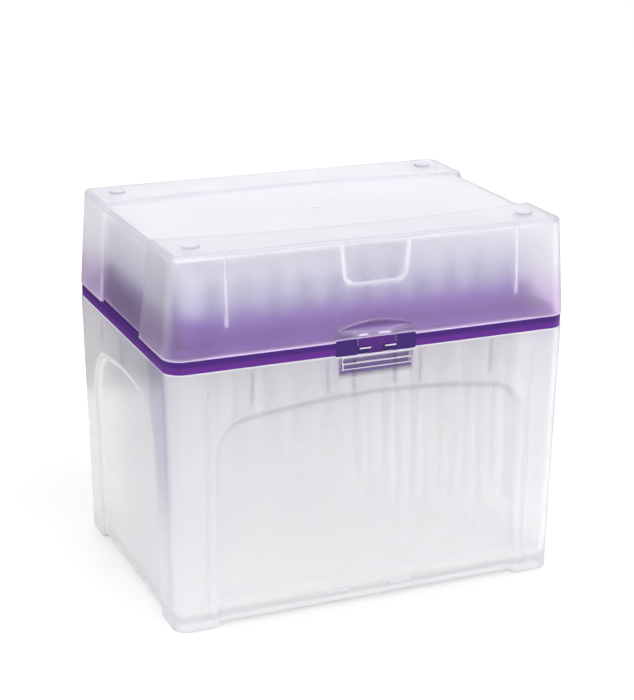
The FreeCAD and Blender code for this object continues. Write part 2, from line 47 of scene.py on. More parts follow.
mm = 0.001  # sizes are in millimetres and become metres in the meshes
front, right, rear, left = range(4)  # quarter turns about Z, from the front wall
seatY = (columnBox[0].y + columnBox[1].y) / 2 / mm  # middle of the rack, and of both shells

# What the base and the lid share. Heights come from the frame.
case = {
    "halfWidth": lidBox[1].x / mm,
    "halfDepth": 43.9,  # the walls alone, without latch and hinge
    "baseHeight": trayBox[1].z / mm - 11.9,
    "lidBottom": trayBox[1].z / mm - 8.3,
    "lidTop": lidBox[1].z / mm - 0.8,  # the studs stand over it
    "corner": 5.5, "leastCorner": 0.5,
    "latchHalf": 12.3, "latchSoft": 0.4,
    "flatX": 53.0, "flatY": 36.5,  # a wall runs straight to here, then its corner begins
}


def clamp(x, low=0.0, high=1.0):
    return max(low, min(high, x))


def smooth(x):
    x = clamp(x)
    return x * x * (3 - 2 * x)


def mix(a, b, t):
    return a + (b - a) * t


# 0 to 1 as the value goes from the zone's start over its run, which may be negative.
def fade(value, zone):
    return smooth((value - zone[0]) / zone[1])


# 0 to 1 across an edge of this softness, halfway at zero.
def band(value, soft):
    return smooth(value / soft + 0.5)


# Grid lines from stop to stop, given as stop, step, stop, step, stop.
def stations(*stops):
    found = [stops[0]]
    for step, end in zip(stops[1::2], stops[2::2]):
        start = found[-1]
        count = max(1, round((end - start) / step))
        found += [mix(start, end, (i + 1) / count) for i in range(count)]
    return found


def mirrored(found):
    return [-x for x in reversed(found) if x > 0] + found


# Middle height and radius of an arc, by its height at the ends and in the middle.
def arcThrough(half, endZ, middleZ):
    sag = middleZ - endZ
    radius = (half * half + sag * sag) / (2 * abs(sag))
    return middleZ - math.copysign(radius, sag), radius


# Distance to a slot with round corners: negative inside it.
def slotGap(across, above, radius):
    u, v = across + radius, above + radius
    return math.hypot(max(u, 0), max(v, 0)) - radius + min(max(u, v), 0)


def linkObject(name, mesh):
    piece = bpy.data.objects.new(name, mesh)
    bpy.context.scene.collection.objects.link(piece)
    return piece


# Grid lines past the flat are spread up to the end.
def reach(column, flat, end):
    return column if abs(column) <= flat else math.copysign(mix(flat, end, abs(column) - flat), column)


# A point of a wall's outline, and which way it faces there.
def outlinePoint(column, flat, half, depth, radius):
    along = reach(column, flat, half - radius * (1 - math.sqrt(0.5)))
    bent = max(abs(along) - (half - radius), 0) / radius
    lift = math.sqrt(max(1 - bent * bent, 0))
    return along, depth - radius * (1 - lift), math.copysign(bent, along), lift


def turned(quarter, along, out):
    x, y = along, -out
    for _ in range(quarter):
        x, y = -y, x
    return x, y


# Heights of a ring, from the wall's low and high edge at each place.
def fromHigh(drop):
    return lambda low, high: high - drop


def fromLow(rise):
    return lambda low, high: low + rise


def between(rise, drop, share):
    return lambda low, high: mix(low + rise, high - drop, share)


def upFrom(z, drop, share):
    return lambda low, high: mix(z, high - drop, share)


def level(z):
    return lambda low, high: z


# Half sizes and corner radius of a wall that leans in by this share, this far in from its face.
def wallSize(s, share, inset):
    return (case["halfWidth"] - s["leanX"] * share - inset, case["halfDepth"] - s["leanY"] * share - inset,
            max(mix(case["corner"], s["farCorner"], share) - inset, case["leastCorner"]))


# A quarter round in steps: one share shrinks from 1 to 0, the other grows from 0 to 1.
def rounding(steps):
    turns = [math.pi / 2 * i / steps for i in range(steps + 1)]
    return [(1 - math.sin(turn), 1 - math.cos(turn)) for turn in turns]


# A thin-walled box of rings, outside and inside. Each point carries milk, painted shade and polish in its
# finish attribute; milk also paints highlight lines.
class Shell:
    def __init__(self, columnsX, columnsY):
        self.columnsX, self.columnsY = mirrored(columnsX), mirrored(columnsY)
        self.ring = []
        for quarter in range(4):
            columns = self.columnsY if quarter in (right, left) else self.columnsX
            self.ring += [(quarter, c) for c in columns[:-1]]
        self.verts, self.finish, self.faces = [], [], []
        self.last = None

    def addRing(self, halfX, halfY, radius, heightAt, reliefAt, milkAndPaintedShadeAt):
        start = len(self.verts)
        for quarter, column in self.ring:
            side = quarter in (right, left)
            half, depth, flat = (halfY, halfX, case["flatY"]) if side else (halfX, halfY, case["flatX"])
            along, out, nAlong, nOut = outlinePoint(column, flat, half, depth, radius)
            z = heightAt(quarter, along)
            push = reliefAt(quarter, along, z)
            x, y = turned(quarter, along + nAlong * push, out + nOut * push)
            self.verts.append((x, y + seatY, z))
            self.finish += milkAndPaintedShadeAt(quarter, along, z)
        if self.last is not None:
            n = len(self.ring)
            for i in range(n):
                j = (i + 1) % n
                self.faces.append((start + i, start + j, self.last + j, self.last + i))
        self.last = start
        return start

    def addCap(self, start, flip):
        loop = list(range(start, start + len(self.ring)))
        self.faces.append(tuple(loop if flip else reversed(loop)))

    # Closes a ring with a grid whose height follows heightAt.
    def addSheet(self, start, heightAt, flip, milkAndPaintedShadeAt):
        nX, nY = len(self.columnsX) - 1, len(self.columnsY) - 1
        index = {}
        for i in range(nX):
            index[i, 0] = start + i
            index[nX - i, nY] = start + nX + nY + i
        for j in range(nY):
            index[nX, j] = start + nX + j
            index[0, nY - j] = start + 2 * nX + nY + j

        for i in range(1, nX):
            for j in range(1, nY):
                endX = abs(self.verts[index[0 if self.columnsX[i] < 0 else nX, j]][0])
                endY = abs(self.verts[index[i, 0 if self.columnsY[j] < 0 else nY]][1] - seatY)
                x = reach(self.columnsX[i], case["flatX"], endX)
                y = reach(self.columnsY[j], case["flatY"], endY)
                index[i, j] = len(self.verts)
                self.verts.append((x, y + seatY, heightAt(x, y)))
                self.finish += milkAndPaintedShadeAt(x, y)
        for i in range(nX):
            for j in range(nY):
                quad = (index[i, j], index[i + 1, j], index[i + 1, j + 1], index[i, j + 1])
                self.faces.append(tuple(reversed(quad)) if flip else quad)

    def mesh(self, name):
        mesh = bpy.data.meshes.new(name)
        mesh.from_pydata([(x * mm, y * mm, z * mm) for x, y, z in self.verts], [], self.faces)
        mesh.attributes.new("finish", "FLOAT_VECTOR", "POINT").data.foreach_set("vector", self.finish)
        mesh.update()
        mesh.shade_smooth()
        mesh.set_sharp_from_angle(angle=math.radians(60))
        return mesh


# The lid. A zone is where its milk, painted shade or polish starts to change, and over how many millimetres.
lid = {
    # wall, how far it leans in over its height, radii
    "wall": 1.3, "leanX": 2.3, "leanY": 1.5, "farCorner": 3.2,
    "edgeRadius": 1.0, "rimRadius": 0.35, "innerRadius": 1.0,
    # painted shade on the rounded top edge, ring by ring, darkest in two lines near its borders; it also sets
    # the edge's milk
    "edgePaintedShade": (0.6, 1, 0.7, 0.7, 0.7, 1, 0.3), "edgeMilk": 0.4,
    # top: the middle lies under two strips with bowed inner edges; painted shade greys the strips, and the step
    # more
    "panelDrop": 1.4, "stripEnd": 22.0, "stripMiddle": 26.8, "stepWidth": 0.9,
    "stripShade": 0.1, "stepShade": 0.55,
    # end walls: sunk between two slanting lines
    "saddleDepth": 0.8, "saddleLow": 18.5, "saddleHigh": 22.0, "saddleNotch": 0.85,
    # front wall: raised over the latch; a crease near each end stops in a small drop, and a painted highlight
    # runs down it, fainter towards the top
    "latchRise": 0.65, "creaseX": 44.2, "creaseWidth": 0.45, "creaseProud": 0.4, "creaseLength": 19.0,
    "creaseDot": 0.55, "creaseZone": (21.0, 4.0), "creaseLeft": 0.25,
    # U-shaped frame of the label area, with a painted highlight on its rib and painted shade inside it
    "frameTop": 10.7, "frameLow": 9.5, "frameHeight": 12.9, "frameCorner": 3.0, "frameRib": 0.85,
    "frameProud": 0.35, "frameShade": 0.12, "softness": 0.3,
    # thumb scoop between two arcs: painted shade in its upper part, painted light in its lower part and along
    # its upper lip
    "scoopHalf": 11.9, "scoopTop": 5.5, "scoopShoulder": 3.0, "scoopBottom": 1.2, "scoopDepth": 1.0,
    "scoopEnd": 2.5, "scoopPaintedLight": 0.05, "scoopShade": 0.8, "scoopLip": 0.35,
    # two short bars over the latch tongue, made white as painted glints, and its fine side lines as painted
    # highlights
    "snapSpans": ((-5.3, -2.4), (0.8, 4.5)), "snapRise": 1.55, "snapHeight": 0.3, "snapProud": 0.15,
    "tongueHalf": 5.9, "tongueHighlight": 0.12, "tongueRise": 3.4,
    # milk, painted shade and polish of the walls: painted highlights on lines, rim and corners, painted light
    # on the rear pillars and one end, painted shade on the front pillars
    "topMilk": 0.13, "topZone": (-2.6, 1.6), "rimPaintedHighlight": 0.4, "rimZone": (0.9, -0.9),
    "linePaintedHighlight": 0.4, "lineZone": (0.4, -0.4), "rearPaintedLight": 0.12, "endPaintedLight": 0.14, "endZone": (46.0, 9.0),
    "cornerPaintedHighlight": 0.04, "cornerZone": (49.0, 5.0), "cornerPolish": 0.9, "polishZone": (47.5, 5.0),
    "pillarShade": 0.3, "pillarZone": (40.0, -3.0), "pillarPolish": 0.4, "sidePolish": 1.0,
    "sidePolishZone": (16.0, -8.0),
}
lidRise = case["lidTop"] - case["lidBottom"]
scoopTopArc = arcThrough(lid["scoopHalf"], lid["scoopShoulder"], lid["scoopTop"])
scoopLowArc = arcThrough(lid["scoopHalf"], lid["scoopShoulder"], lid["scoopBottom"])


def stripEdge(x):
    bow = lid["stripMiddle"] - lid["stripEnd"]
    half = case["halfWidth"] - lid["leanX"]
    radius = (half * half + bow * bow) / (2 * bow)
    return lid["stripMiddle"] - (radius - math.sqrt(radius * radius - min(x * x, half * half)))


def lidTopAt(x, y):
    return case["lidTop"] - lid["panelDrop"] * band(stripEdge(x) - abs(y), lid["stepWidth"])


def saddleEdge(rise):
    return mix(lid["saddleLow"], lid["saddleHigh"], clamp(rise / lidRise))


# Middle height of the scoop and half its room, at this place along the front.
def scoopMiddle(along):
    if abs(along) > lid["scoopHalf"]:
        return 0.0, 0.0
    high = scoopTopArc[0] + math.sqrt(scoopTopArc[1] ** 2 - along ** 2)
    low = scoopLowArc[0] - math.sqrt(scoopLowArc[1] ** 2 - along ** 2)
    return (high + low) / 2, (high - low) / 2


def scoopDepthAt(along, rise):
    middle, room = scoopMiddle(along)
    if room < 0.05:
        return 0.0
    inside = 1 - abs(rise - middle) / room
    depth = lid["scoopDepth"] * math.sqrt(clamp(inside * 1.3))
    return depth * smooth((lid["scoopHalf"] - abs(along)) / lid["scoopEnd"])


def frameGap(along, rise):
    top = lidRise - lid["edgeRadius"]
    low = lidRise - lid["frameHeight"]
    half = mix(lid["frameLow"], lid["frameTop"], clamp((rise - low) / (top - low)))
    return slotGap(abs(along) - half, low - rise, lid["frameCorner"])


def onFrame(along, rise):
    if abs(along) > lid["frameTop"] + 1:
        return 0.0
    gap, soft = frameGap(along, rise), lid["softness"]
    return band(-gap, soft) - band(-gap - lid["frameRib"], soft)


def onCrease(along, rise):
    s = lid
    off = abs(abs(along) - s["creaseX"])
    if off > 2:
        return 0.0
    foot = rise - (lidRise - s["edgeRadius"] - s["creaseLength"])
    line = band(s["creaseWidth"] / 2 - off, s["softness"]) * band(foot, s["softness"])
    return max(line, band(s["creaseDot"] - math.hypot(off, foot - 0.3), s["softness"]))


# The bars and the fine side lines of the latch, on the lid's lower edge: raised bars that carry painted glints,
# and painted highlight lines.
def onSnapGlints(along, rise):
    bars = max(band(along - x0, 0.2) * band(x1 - along, 0.2) for x0, x1 in lid["snapSpans"])
    bars *= band(lid["snapHeight"] / 2 - abs(rise - lid["snapRise"]), 0.15)
    lines = band(lid["tongueHighlight"] - abs(abs(along) - lid["tongueHalf"]), 0.25)
    return bars, lines * band(lid["tongueRise"] - rise, 0.6)


def lidMilkAndPaintedLight(quarter, along, z, edge=0.0):
    s = lid
    rise = z - case["lidBottom"]
    milk = max(s["topMilk"] * fade(z - case["lidTop"], s["topZone"]),
               s["rimPaintedHighlight"] * fade(rise, s["rimZone"]), s["edgeMilk"] * edge)
    shade, polish = edge, 0.0
    if quarter in (right, left):
        line = saddleEdge(rise)
        ahead = along if quarter == left else -along
        # Painted highlight along the saddle's slanting lines, brighter on the nearer one.
        linePaintedHighlight = s["linePaintedHighlight"] * (0.9 if ahead > 0 else 0.5)  # brighter on the nearer line
        milk = max(milk, linePaintedHighlight * fade(abs(line - abs(along)), s["lineZone"]),
                   s["rearPaintedLight"] * band(-ahead - line, 1.0))
        shade = max(shade, s["pillarShade"] * band(ahead - line, 1.0) * fade(ahead, s["pillarZone"]))
        polish = mix(s["pillarPolish"], s["sidePolish"], band(line - abs(along), 1.0))
        polish *= fade(rise, s["sidePolishZone"])
    else:
        east = along if quarter == front else -along
        milk = max(milk, s["endPaintedLight"] * fade(east, s["endZone"]),
                   s["cornerPaintedHighlight"] * fade(abs(along), s["cornerZone"]))
        polish = s["cornerPolish"] * fade(abs(along), s["polishZone"])
    if quarter == front:
        bars, lines = onSnapGlints(along, rise)
        crease = onCrease(along, rise) * mix(1.0, s["creaseLeft"], fade(rise, s["creaseZone"]))
        milk = max(milk, bars, s["linePaintedHighlight"] * max(onFrame(along, rise), crease, lines * 0.5))
        if abs(along) < s["frameTop"]:
            shade = max(shade, s["frameShade"] * band(-frameGap(along, rise) - s["frameRib"], 0.4))
        middle, room = scoopMiddle(along)
        if room > 0.05:
            share = (middle - rise) / room  # -1 at the top of the scoop, 1 at its foot
            milk = max(milk, s["scoopPaintedLight"] * smooth(share * 2 + 0.6) * smooth((1.1 - share) * 4),
                       s["scoopPaintedLight"] * smooth(1 - abs(share + 1) * room / s["scoopLip"]))
            shade = max(shade, s["scoopShade"] * smooth((share + 1) * 5) * smooth(-share * 3 + 0.3))
            polish = max(polish, smooth((1 - abs(share)) * 4))
    return milk, shade, polish


# Painted shade on the top: a little on the strips, more on the step between them.
def lidTopPaintedShade(x, y):
    step = (stripEdge(x) - abs(y)) / lid["stepWidth"] + 0.5
    shade = lid["stripShade"] * (1 - smooth(step)) + lid["stepShade"] * smooth(1 - abs(step - 0.5))
    return lid["topMilk"], shade, 0.0


def lidRelief(quarter, along, z, inside):
    rise = z - case["lidBottom"]
    push = 0.0
    if quarter in (right, left):
        push -= lid["saddleDepth"] * band(saddleEdge(rise) - abs(along), 0.5)
    if quarter == front:
        push -= scoopDepthAt(along, rise)
        if not inside:
            push += lid["creaseProud"] * onCrease(along, rise) + lid["frameProud"] * onFrame(along, rise)
            push += lid["snapProud"] * onSnapGlints(along, rise)[0]
    return push * clamp((case["lidTop"] - 0.05 - z) / 0.6)  # none at the rounded top edge


def lidEdge(quarter, along):
    z = case["lidBottom"]
    if quarter == front:
        z += lid["latchRise"] * band(case["latchHalf"] - abs(along), case["latchSoft"])
    if quarter in (right, left):
        z += lid["saddleNotch"] * band(lid["saddleLow"] - abs(along), 0.4)
    return z


def lidCeiling(quarter, along):
    if quarter in (front, rear):
        return case["lidTop"]
    return lidTopAt(case["halfWidth"] - lid["leanX"], along)


def buildLidShell():
    # Grid lines stand close together at the tongue, the frame and the creases.
    shell = Shell(
        stations(0, 0.25, 12.0, 0.12, 12.6, 0.5, 13.1, 2.5, 43.1, 0.18, 45.3, 2, 53.0, 0.125, 54.0),
        stations(0, 2.5, 17.5, 0.3, 23.0, 0.4, 28.0, 2.5, 36.5, 0.125, 37.5))
    rEdge, rRim, rInner, wall = lid["edgeRadius"], lid["rimRadius"], lid["innerRadius"], lid["wall"]

    def ringAt(inset, heightOf, inside=False, edge=0.0):
        middle = heightOf(case["lidBottom"], case["lidTop"])
        share = clamp((middle - case["lidBottom"]) / lidRise)
        return shell.addRing(
            *wallSize(lid, share, inset), lambda q, a: heightOf(lidEdge(q, a), lidCeiling(q, a)),
            lambda q, a, z: lidRelief(q, a, z, inside), lambda q, a, z: lidMilkAndPaintedLight(q, a, z, edge))

    # The rounded top edge, with painted shade ring by ring.
    tops = [ringAt(rEdge * shrink, fromHigh(rEdge * grow), edge=light)
            for (shrink, grow), light in zip(rounding(6), lid["edgePaintedShade"])]
    top = lidRise - rEdge
    rises = stations(rRim, 0.1, 1.05, 0.25, 6.4, 0.8, 7.2, 0.25, 8.4, 1.2, 15.6, 0.25, 18.6, 1.2, top)
    for rise in reversed(rises[1:-1]):
        ringAt(0, between(rRim, rEdge, (rise - rRim) / (top - rRim)))
    # Round the lower edge, then up inside.
    for shrink, grow in rounding(3):
        ringAt(rRim * grow, fromLow(rRim * shrink))
    for shrink, grow in rounding(3):
        ringAt(wall - rRim * shrink, fromLow(rRim * grow), True)
    innerRise = lidRise - wall - rInner
    for rise in stations(0.8, 0.5, 6.6, 2.5, innerRise):
        ringAt(wall, between(rRim, wall + rInner, rise / innerRise), True)
    for shrink, grow in rounding(3)[1:]:
        inner = ringAt(wall + rInner * grow, fromHigh(wall + rInner * shrink), True)
    shell.addSheet(tops[0], lidTopAt, False, lidTopPaintedShade)
    shell.addSheet(inner, lambda x, y: lidTopAt(x, y) - wall, True, lidTopPaintedShade)
    return shell.mesh("lidShell")


lidMesh = buildLidShell()
print("lid shell:", len(lidMesh.polygons), "faces")


# The base: a tub on corner feet, with an arched panel sunk in each wall.
base = {
    # wall, how far it leans in down to its foot, radii
    "wall": 1.5, "leanX": 1.65, "leanY": 0.9, "farCorner": 4.2,
    "rimRadius": 0.4, "innerRadius": 1.0, "footRadius": 0.5,
    "underFloor": 2.4, "floorTop": 4.0, "latchDrop": 0.45,
    # feet; the walls between them end a little higher
    "footLift": 0.9, "footX": 12.4, "footY": 13.6,
    # panels, with a painted highlight on the lip just outside the arch
    "frontArch": {"margin": 13.1, "drop": 12.4, "crown": 240.0, "shoulder": 7.5},
    "sideArch": {"margin": 14.6, "drop": 12.2, "crown": 100.0, "shoulder": 11.0},
    "panelDepth": 1.3, "panelSoft": 2.7, "lipOut": 0.3, "lipPaintedHighlight": 0.45, "lipZone": (2.2, -2.2),
    # a fine groove in each front and rear post
    "grooveMargin": 9.6, "grooveWidth": 0.7, "grooveDepth": 0.35, "grooveSoft": 0.35,
    "grooveTop": 5.9, "grooveLow": 2.0,
    # milk by height; a painted highlight along the rim, and painted light toward the rear of the end walls
    "topMilk": 0.42, "lowMilk": 0.46, "lowZone": (72.0, -27.0), "soleMilk": 0.66, "soleZone": (9.0, -4.0),
    "rimPaintedHighlight": 0.62, "rimZone": (-0.9, 0.6), "rearPaintedLight": 0.62, "rearZone": (6.0, -40.0),
    # painted shade of the end walls, deepest high on the front pillar
    "sideShade": 0.12, "sideZone": (-20.0, 45.0), "pillarShade": 0.46, "pillarZone": (22.0, 8.0),
    "pillarRise": (15.0, 40.0), "shadeEnd": (42.0, -3.0),
    # round the thumb pad the wall is clear and smooth, with painted shade on its flats
    "padClear": 11.2, "padLow": 71.2, "padPolish": 0.6, "padShade": 0.6,
}
# The thumb pad: two steps that lean back, then a ledge, measured down from the rim; painted highlights lie on
# its lips at the given lines.
pad = {"half": 10.6, "reach": 0.52, "step": 1.87, "fall": 4.05, "firstFoot": 0.25, "secondFoot": 0.6,
       "ledge": 0.2, "ledgeDrop": 3.7, "ledgeHalf": 0.3, "lines": (0.15, 2.02, 3.65), "lip": 0.16, "soft": 0.25}
footHalfX = case["halfWidth"] - base["leanX"]
footHalfY = case["halfDepth"] - base["leanY"]


# Distance to the arched panel: negative inside it.
def archGap(quarter, along, z):
    side = quarter in (right, left)
    arch = base["sideArch"] if side else base["frontArch"]
    half = (footHalfY if side else footHalfX) - arch["margin"]
    crown = arch["crown"]
    high = math.hypot(along, z - (case["baseHeight"] - arch["drop"] - crown)) - crown
    return slotGap(abs(along) - half, high, arch["shoulder"])


def padRelief(along, z):
    s = pad
    drop = case["baseHeight"] - base["latchDrop"] - z
    if abs(along) > s["half"] + 1 or drop > s["fall"] + 1:
        return 0.0
    first = mix(s["reach"], s["firstFoot"], clamp(drop / s["step"]))
    second = mix(2 * s["reach"], s["secondFoot"], clamp((drop - s["step"]) / (s["fall"] - s["step"])))
    push = mix(first, second, band(drop - s["step"], 0.2)) * band(s["fall"] - drop, s["soft"])
    push += s["ledge"] * smooth(1 - abs(drop - s["ledgeDrop"]) / s["ledgeHalf"])
    return push * band(s["half"] - abs(along), s["soft"])


# Painted highlights: the bright lines on the pad's lips and ends.
def padHighlightAt(along, z):
    drop = case["baseHeight"] - base["latchDrop"] - z
    near = min(abs(drop - at) for at in pad["lines"])
    line = smooth(1.2 - near / pad["lip"]) * band(pad["half"] - abs(along) + 0.1, 0.3)
    end = smooth(1.2 - abs(abs(along) - pad["half"] + 0.15) / pad["lip"])
    return max(line, end * band(pad["fall"] - drop + 0.1, 0.3))


def baseRelief(quarter, along, z, inside):
    push = -base["panelDepth"] * band(base["lipOut"] - archGap(quarter, along, z), base["panelSoft"])
    if quarter == front and not inside:
        push += padRelief(along, z)
    if quarter in (front, rear) and not inside:
        off = base["grooveWidth"] / 2 - abs(abs(along) - (footHalfX - base["grooveMargin"]))
        run = band(case["baseHeight"] - base["grooveTop"] - z, 0.5) * band(z - base["grooveLow"], 0.5)
        push -= base["grooveDepth"] * band(off, base["grooveSoft"]) * run
    return push


def baseMilkAndPaintedLight(quarter, along, z):
    s = base
    lip = abs(archGap(quarter, along, z) - s["lipOut"])
    milk = max(mix(s["topMilk"], s["lowMilk"], fade(z, s["lowZone"])),
               s["soleMilk"] * fade(z, s["soleZone"]), s["lipPaintedHighlight"] * fade(lip, s["lipZone"]))
    shade, polish = 0.0, 0.0
    if quarter in (right, left):
        ahead = along if quarter == left else -along
        milk = mix(milk, max(milk, s["rearPaintedLight"]), fade(ahead, s["rearZone"]))
        shade = s["sideShade"] * fade(ahead, s["sideZone"])
        shade += s["pillarShade"] * fade(ahead, s["pillarZone"]) * fade(z, s["pillarRise"])
        shade *= fade(ahead, s["shadeEnd"])
    if quarter == front:
        onPad = band(s["padClear"] - abs(along), 1.0) * band(z - s["padLow"], 1.6)
        line = padHighlightAt(along, z) if onPad > 0.5 else 0.0
        milk = max(milk * (1 - onPad), line)
        polish = onPad * s["padPolish"]
        shade = s["padShade"] * onPad * (1 - line)
    return max(milk, s["rimPaintedHighlight"] * fade(z - baseRim(quarter, along), s["rimZone"])), shade, polish


def baseRim(quarter, along):
    drop = base["latchDrop"] if quarter == front else 0.0
    return case["baseHeight"] - drop * band(case["latchHalf"] - abs(along), case["latchSoft"])


def baseFoot(quarter, along):
    half, length = (footHalfY, base["footY"]) if quarter in (right, left) else (footHalfX, base["footX"])
    return base["footLift"] * (1 - band(abs(along) - (half - length), 0.6))


def buildBaseShell():
    # Grid lines stand close together at the pad's ends, the grooves and the arches.
    shell = Shell(
        stations(0, 1.5, 9.9, 0.15, 11.1, 0.45, 12.0, 0.12, 12.6, 1.5, 36.6, 0.5, 49.6, 0.15, 50.9, 1.5, 53.0,
                 0.125, 54.0),
        stations(0, 1.5, 15.0, 0.5, 31.0, 1.5, 36.5, 0.125, 37.5))
    wall, floorTop = base["wall"], base["floorTop"]
    rRim, rFoot, rInner = base["rimRadius"], base["footRadius"], base["innerRadius"]

    def ringAt(inset, heightOf, inside=False):
        share = clamp(1 - heightOf(0, case["baseHeight"]) / case["baseHeight"])
        return shell.addRing(
            *wallSize(base, share, inset), lambda q, a: heightOf(baseFoot(q, a), baseRim(q, a)),
            lambda q, a, z: baseRelief(q, a, z, inside), baseMilkAndPaintedLight)

    # Inside first, up from the floor; then over the rim and down outside.
    floors = [ringAt(wall + rInner * shrink, level(floorTop + rInner * grow), True)
              for shrink, grow in rounding(3)]
    rises = stations(0, 5.0, 48.0, 0.6, 68.0, 1.5, case["baseHeight"] - floorTop - rInner)
    for rise in rises[1:-1]:
        ringAt(wall, upFrom(floorTop + rInner, rRim, rise / rises[-1]), True)
    for shrink, grow in rounding(3):
        ringAt(wall - rRim * grow, fromHigh(rRim * shrink), True)
    for shrink, grow in rounding(3):
        ringAt(rRim * shrink, fromHigh(rRim * grow))
    rises = stations(0, 1.0, 4.0, 4.0, 50.0, 0.5, 68.0, 1.2, 72.2, 0.14, case["baseHeight"] - rRim - rFoot)
    for rise in reversed(rises[1:-1]):
        ringAt(0, between(rFoot, rRim, rise / rises[-1]))
    for shrink, grow in rounding(3):
        ringAt(rFoot * grow, fromLow(rFoot * shrink))
    ringAt(wall, fromLow(0), True)
    underside = ringAt(wall, level(base["underFloor"]), True)
    shell.addCap(floors[0], True)
    shell.addCap(underside, False)
    return shell.mesh("baseShell")


baseMesh = buildBaseShell()
print("base shell:", len(baseMesh.polygons), "faces")


def addTo(bm, part):
    mesh = bpy.data.meshes.new("part")
    part.to_mesh(mesh)
    part.free()
    bm.from_mesh(mesh)
    bpy.data.meshes.remove(mesh)


# An outline in Y and Z drawn out along X, with softened edges, and one milk and one painted shade all over.
def prism(bm, outline, x0, x1, soft, milk=0.0, shade=0.0):
    part = bmesh.new()
    layer = part.verts.layers.float_vector.new("finish")
    ends = [[part.verts.new((x, y + seatY, z)) for y, z in outline] for x in (x0, x1)]
    for v in part.verts:
        v[layer] = (milk, shade, 0.0)
    n = len(outline)
    part.faces.new(list(reversed(ends[0])))
    part.faces.new(ends[1])
    for i in range(n):
        j = (i + 1) % n
        part.faces.new((ends[0][i], ends[0][j], ends[1][j], ends[1][i]))
    bmesh.ops.recalc_face_normals(part, faces=part.faces)
    part.normal_update()
    edges = [e for e in part.edges if e.is_manifold and e.calc_face_angle() > math.radians(30)]
    bmesh.ops.bevel(part, geom=edges, offset=soft, segments=2, profile=0.5, affect="EDGES", clamp_overlap=True)
    addTo(bm, part)


thin = 0.001  # radius of a profile's points on the axis


# A profile of radius, height, milk and painted shade turned about Z; a closed ring if it starts off the axis.
def turnedProfile(bm, profile, segments, flute=None):
    part = bmesh.new()
    layer = part.verts.layers.float_vector.new("finish")
    rings = []
    for r, z, milk, shade in profile:
        ring = []
        for k in range(segments):
            angle = 2 * math.pi * k / segments
            out = r + (flute(k, r) if flute else 0)
            ring.append(part.verts.new((out * math.cos(angle), out * math.sin(angle), z)))
            ring[-1][layer] = (milk, shade, 0.0)
        rings.append(ring)
    closed = profile[0][0] > thin
    for low, high in zip(rings, rings[1:] + ([rings[0]] if closed else [])):
        for k in range(segments):
            m = (k + 1) % segments
            part.faces.new((low[k], low[m], high[m], high[k]))
    bmesh.ops.remove_doubles(part, verts=part.verts, dist=1e-4)
    bmesh.ops.recalc_face_normals(part, faces=part.faces)
    addTo(bm, part)


def arcPoints(middle, radius, start, end, count):
    turns = [math.radians(mix(start, end, i / count)) for i in range(count + 1)]
    return [(middle[0] + radius * math.cos(turn), middle[1] + radius * math.sin(turn)) for turn in turns]


def toMesh(name, bm, sharp=40):
    bmesh.ops.scale(bm, vec=(mm, mm, mm), verts=bm.verts)
    for f in bm.faces:
        f.smooth = True
    mesh = bpy.data.meshes.new(name)
    bm.to_mesh(mesh)
    bm.free()
    mesh.set_sharp_from_angle(angle=math.radians(sharp))
    return mesh


# A value goes to the input of that name, linked if it is a socket, or else to a property of the node.
def addNode(tree, kind, values=None):
    node = tree.nodes.new(kind)
    for name, value in (values or {}).items():
        if not isinstance(name, int) and name not in node.inputs:
            setattr(node, name, value)
        elif isinstance(value, bpy.types.NodeSocket):
            tree.links.new(value, node.inputs[name])
        else:
            node.inputs[name].default_value = value
    return node


def shader(tree, kind, values=None):
    return addNode(tree, "ShaderNode" + kind, values)


def maths(tree, operation, first, second=0.5):
    return shader(tree, "Math", {"operation": operation, 0: first, 1: second}).outputs[0]


# Geometry Nodes that set copies of an object on a grid, all in one finish.
def copiesTree():
    tree = bpy.data.node_groups.new("copiesOnGrid", "GeometryNodeTree")
    sockets = {}
    for name, kind in (("Piece", "Object"), ("Columns", "Int"), ("Rows", "Int"), ("Column Spacing", "Float"),
                       ("Row Spacing", "Float"), ("Middle", "Vector"), ("Finish", "Material")):
        socket = tree.interface.new_socket(name, in_out="INPUT", socket_type="NodeSocket" + kind)
        sockets[name] = socket.identifier
    tree.interface.new_socket("Geometry", in_out="OUTPUT", socket_type="NodeSocketGeometry")
    given = addNode(tree, "NodeGroupInput").outputs

    def sizeOf(count, spacing):
        return maths(tree, "MULTIPLY", maths(tree, "SUBTRACT", given[count], 1.0), given[spacing])

    grid = addNode(tree, "GeometryNodeMeshGrid", {
        "Size X": sizeOf("Columns", "Column Spacing"), "Size Y": sizeOf("Rows", "Row Spacing"),
        "Vertices X": given["Columns"], "Vertices Y": given["Rows"]})
    placed = addNode(tree, "GeometryNodeTransform", {"Geometry": grid.outputs["Mesh"],
                                                     "Translation": given["Middle"]})
    piece = addNode(tree, "GeometryNodeObjectInfo", {"Object": given["Piece"]})
    points = addNode(tree, "GeometryNodeMeshToPoints", {"Mesh": placed.outputs["Geometry"]})
    copies = addNode(tree, "GeometryNodeInstanceOnPoints",
                     {"Points": points.outputs["Points"], "Instance": piece.outputs["Geometry"]})
    real = addNode(tree, "GeometryNodeRealizeInstances", {"Geometry": copies.outputs["Instances"]})
    finish = addNode(tree, "GeometryNodeSetMaterial",
                     {"Geometry": real.outputs["Geometry"], "Material": given["Finish"]})
    addNode(tree, "NodeGroupOutput", {"Geometry": finish.outputs["Geometry"]})
    return tree, sockets


copyTree, copySockets = copiesTree()


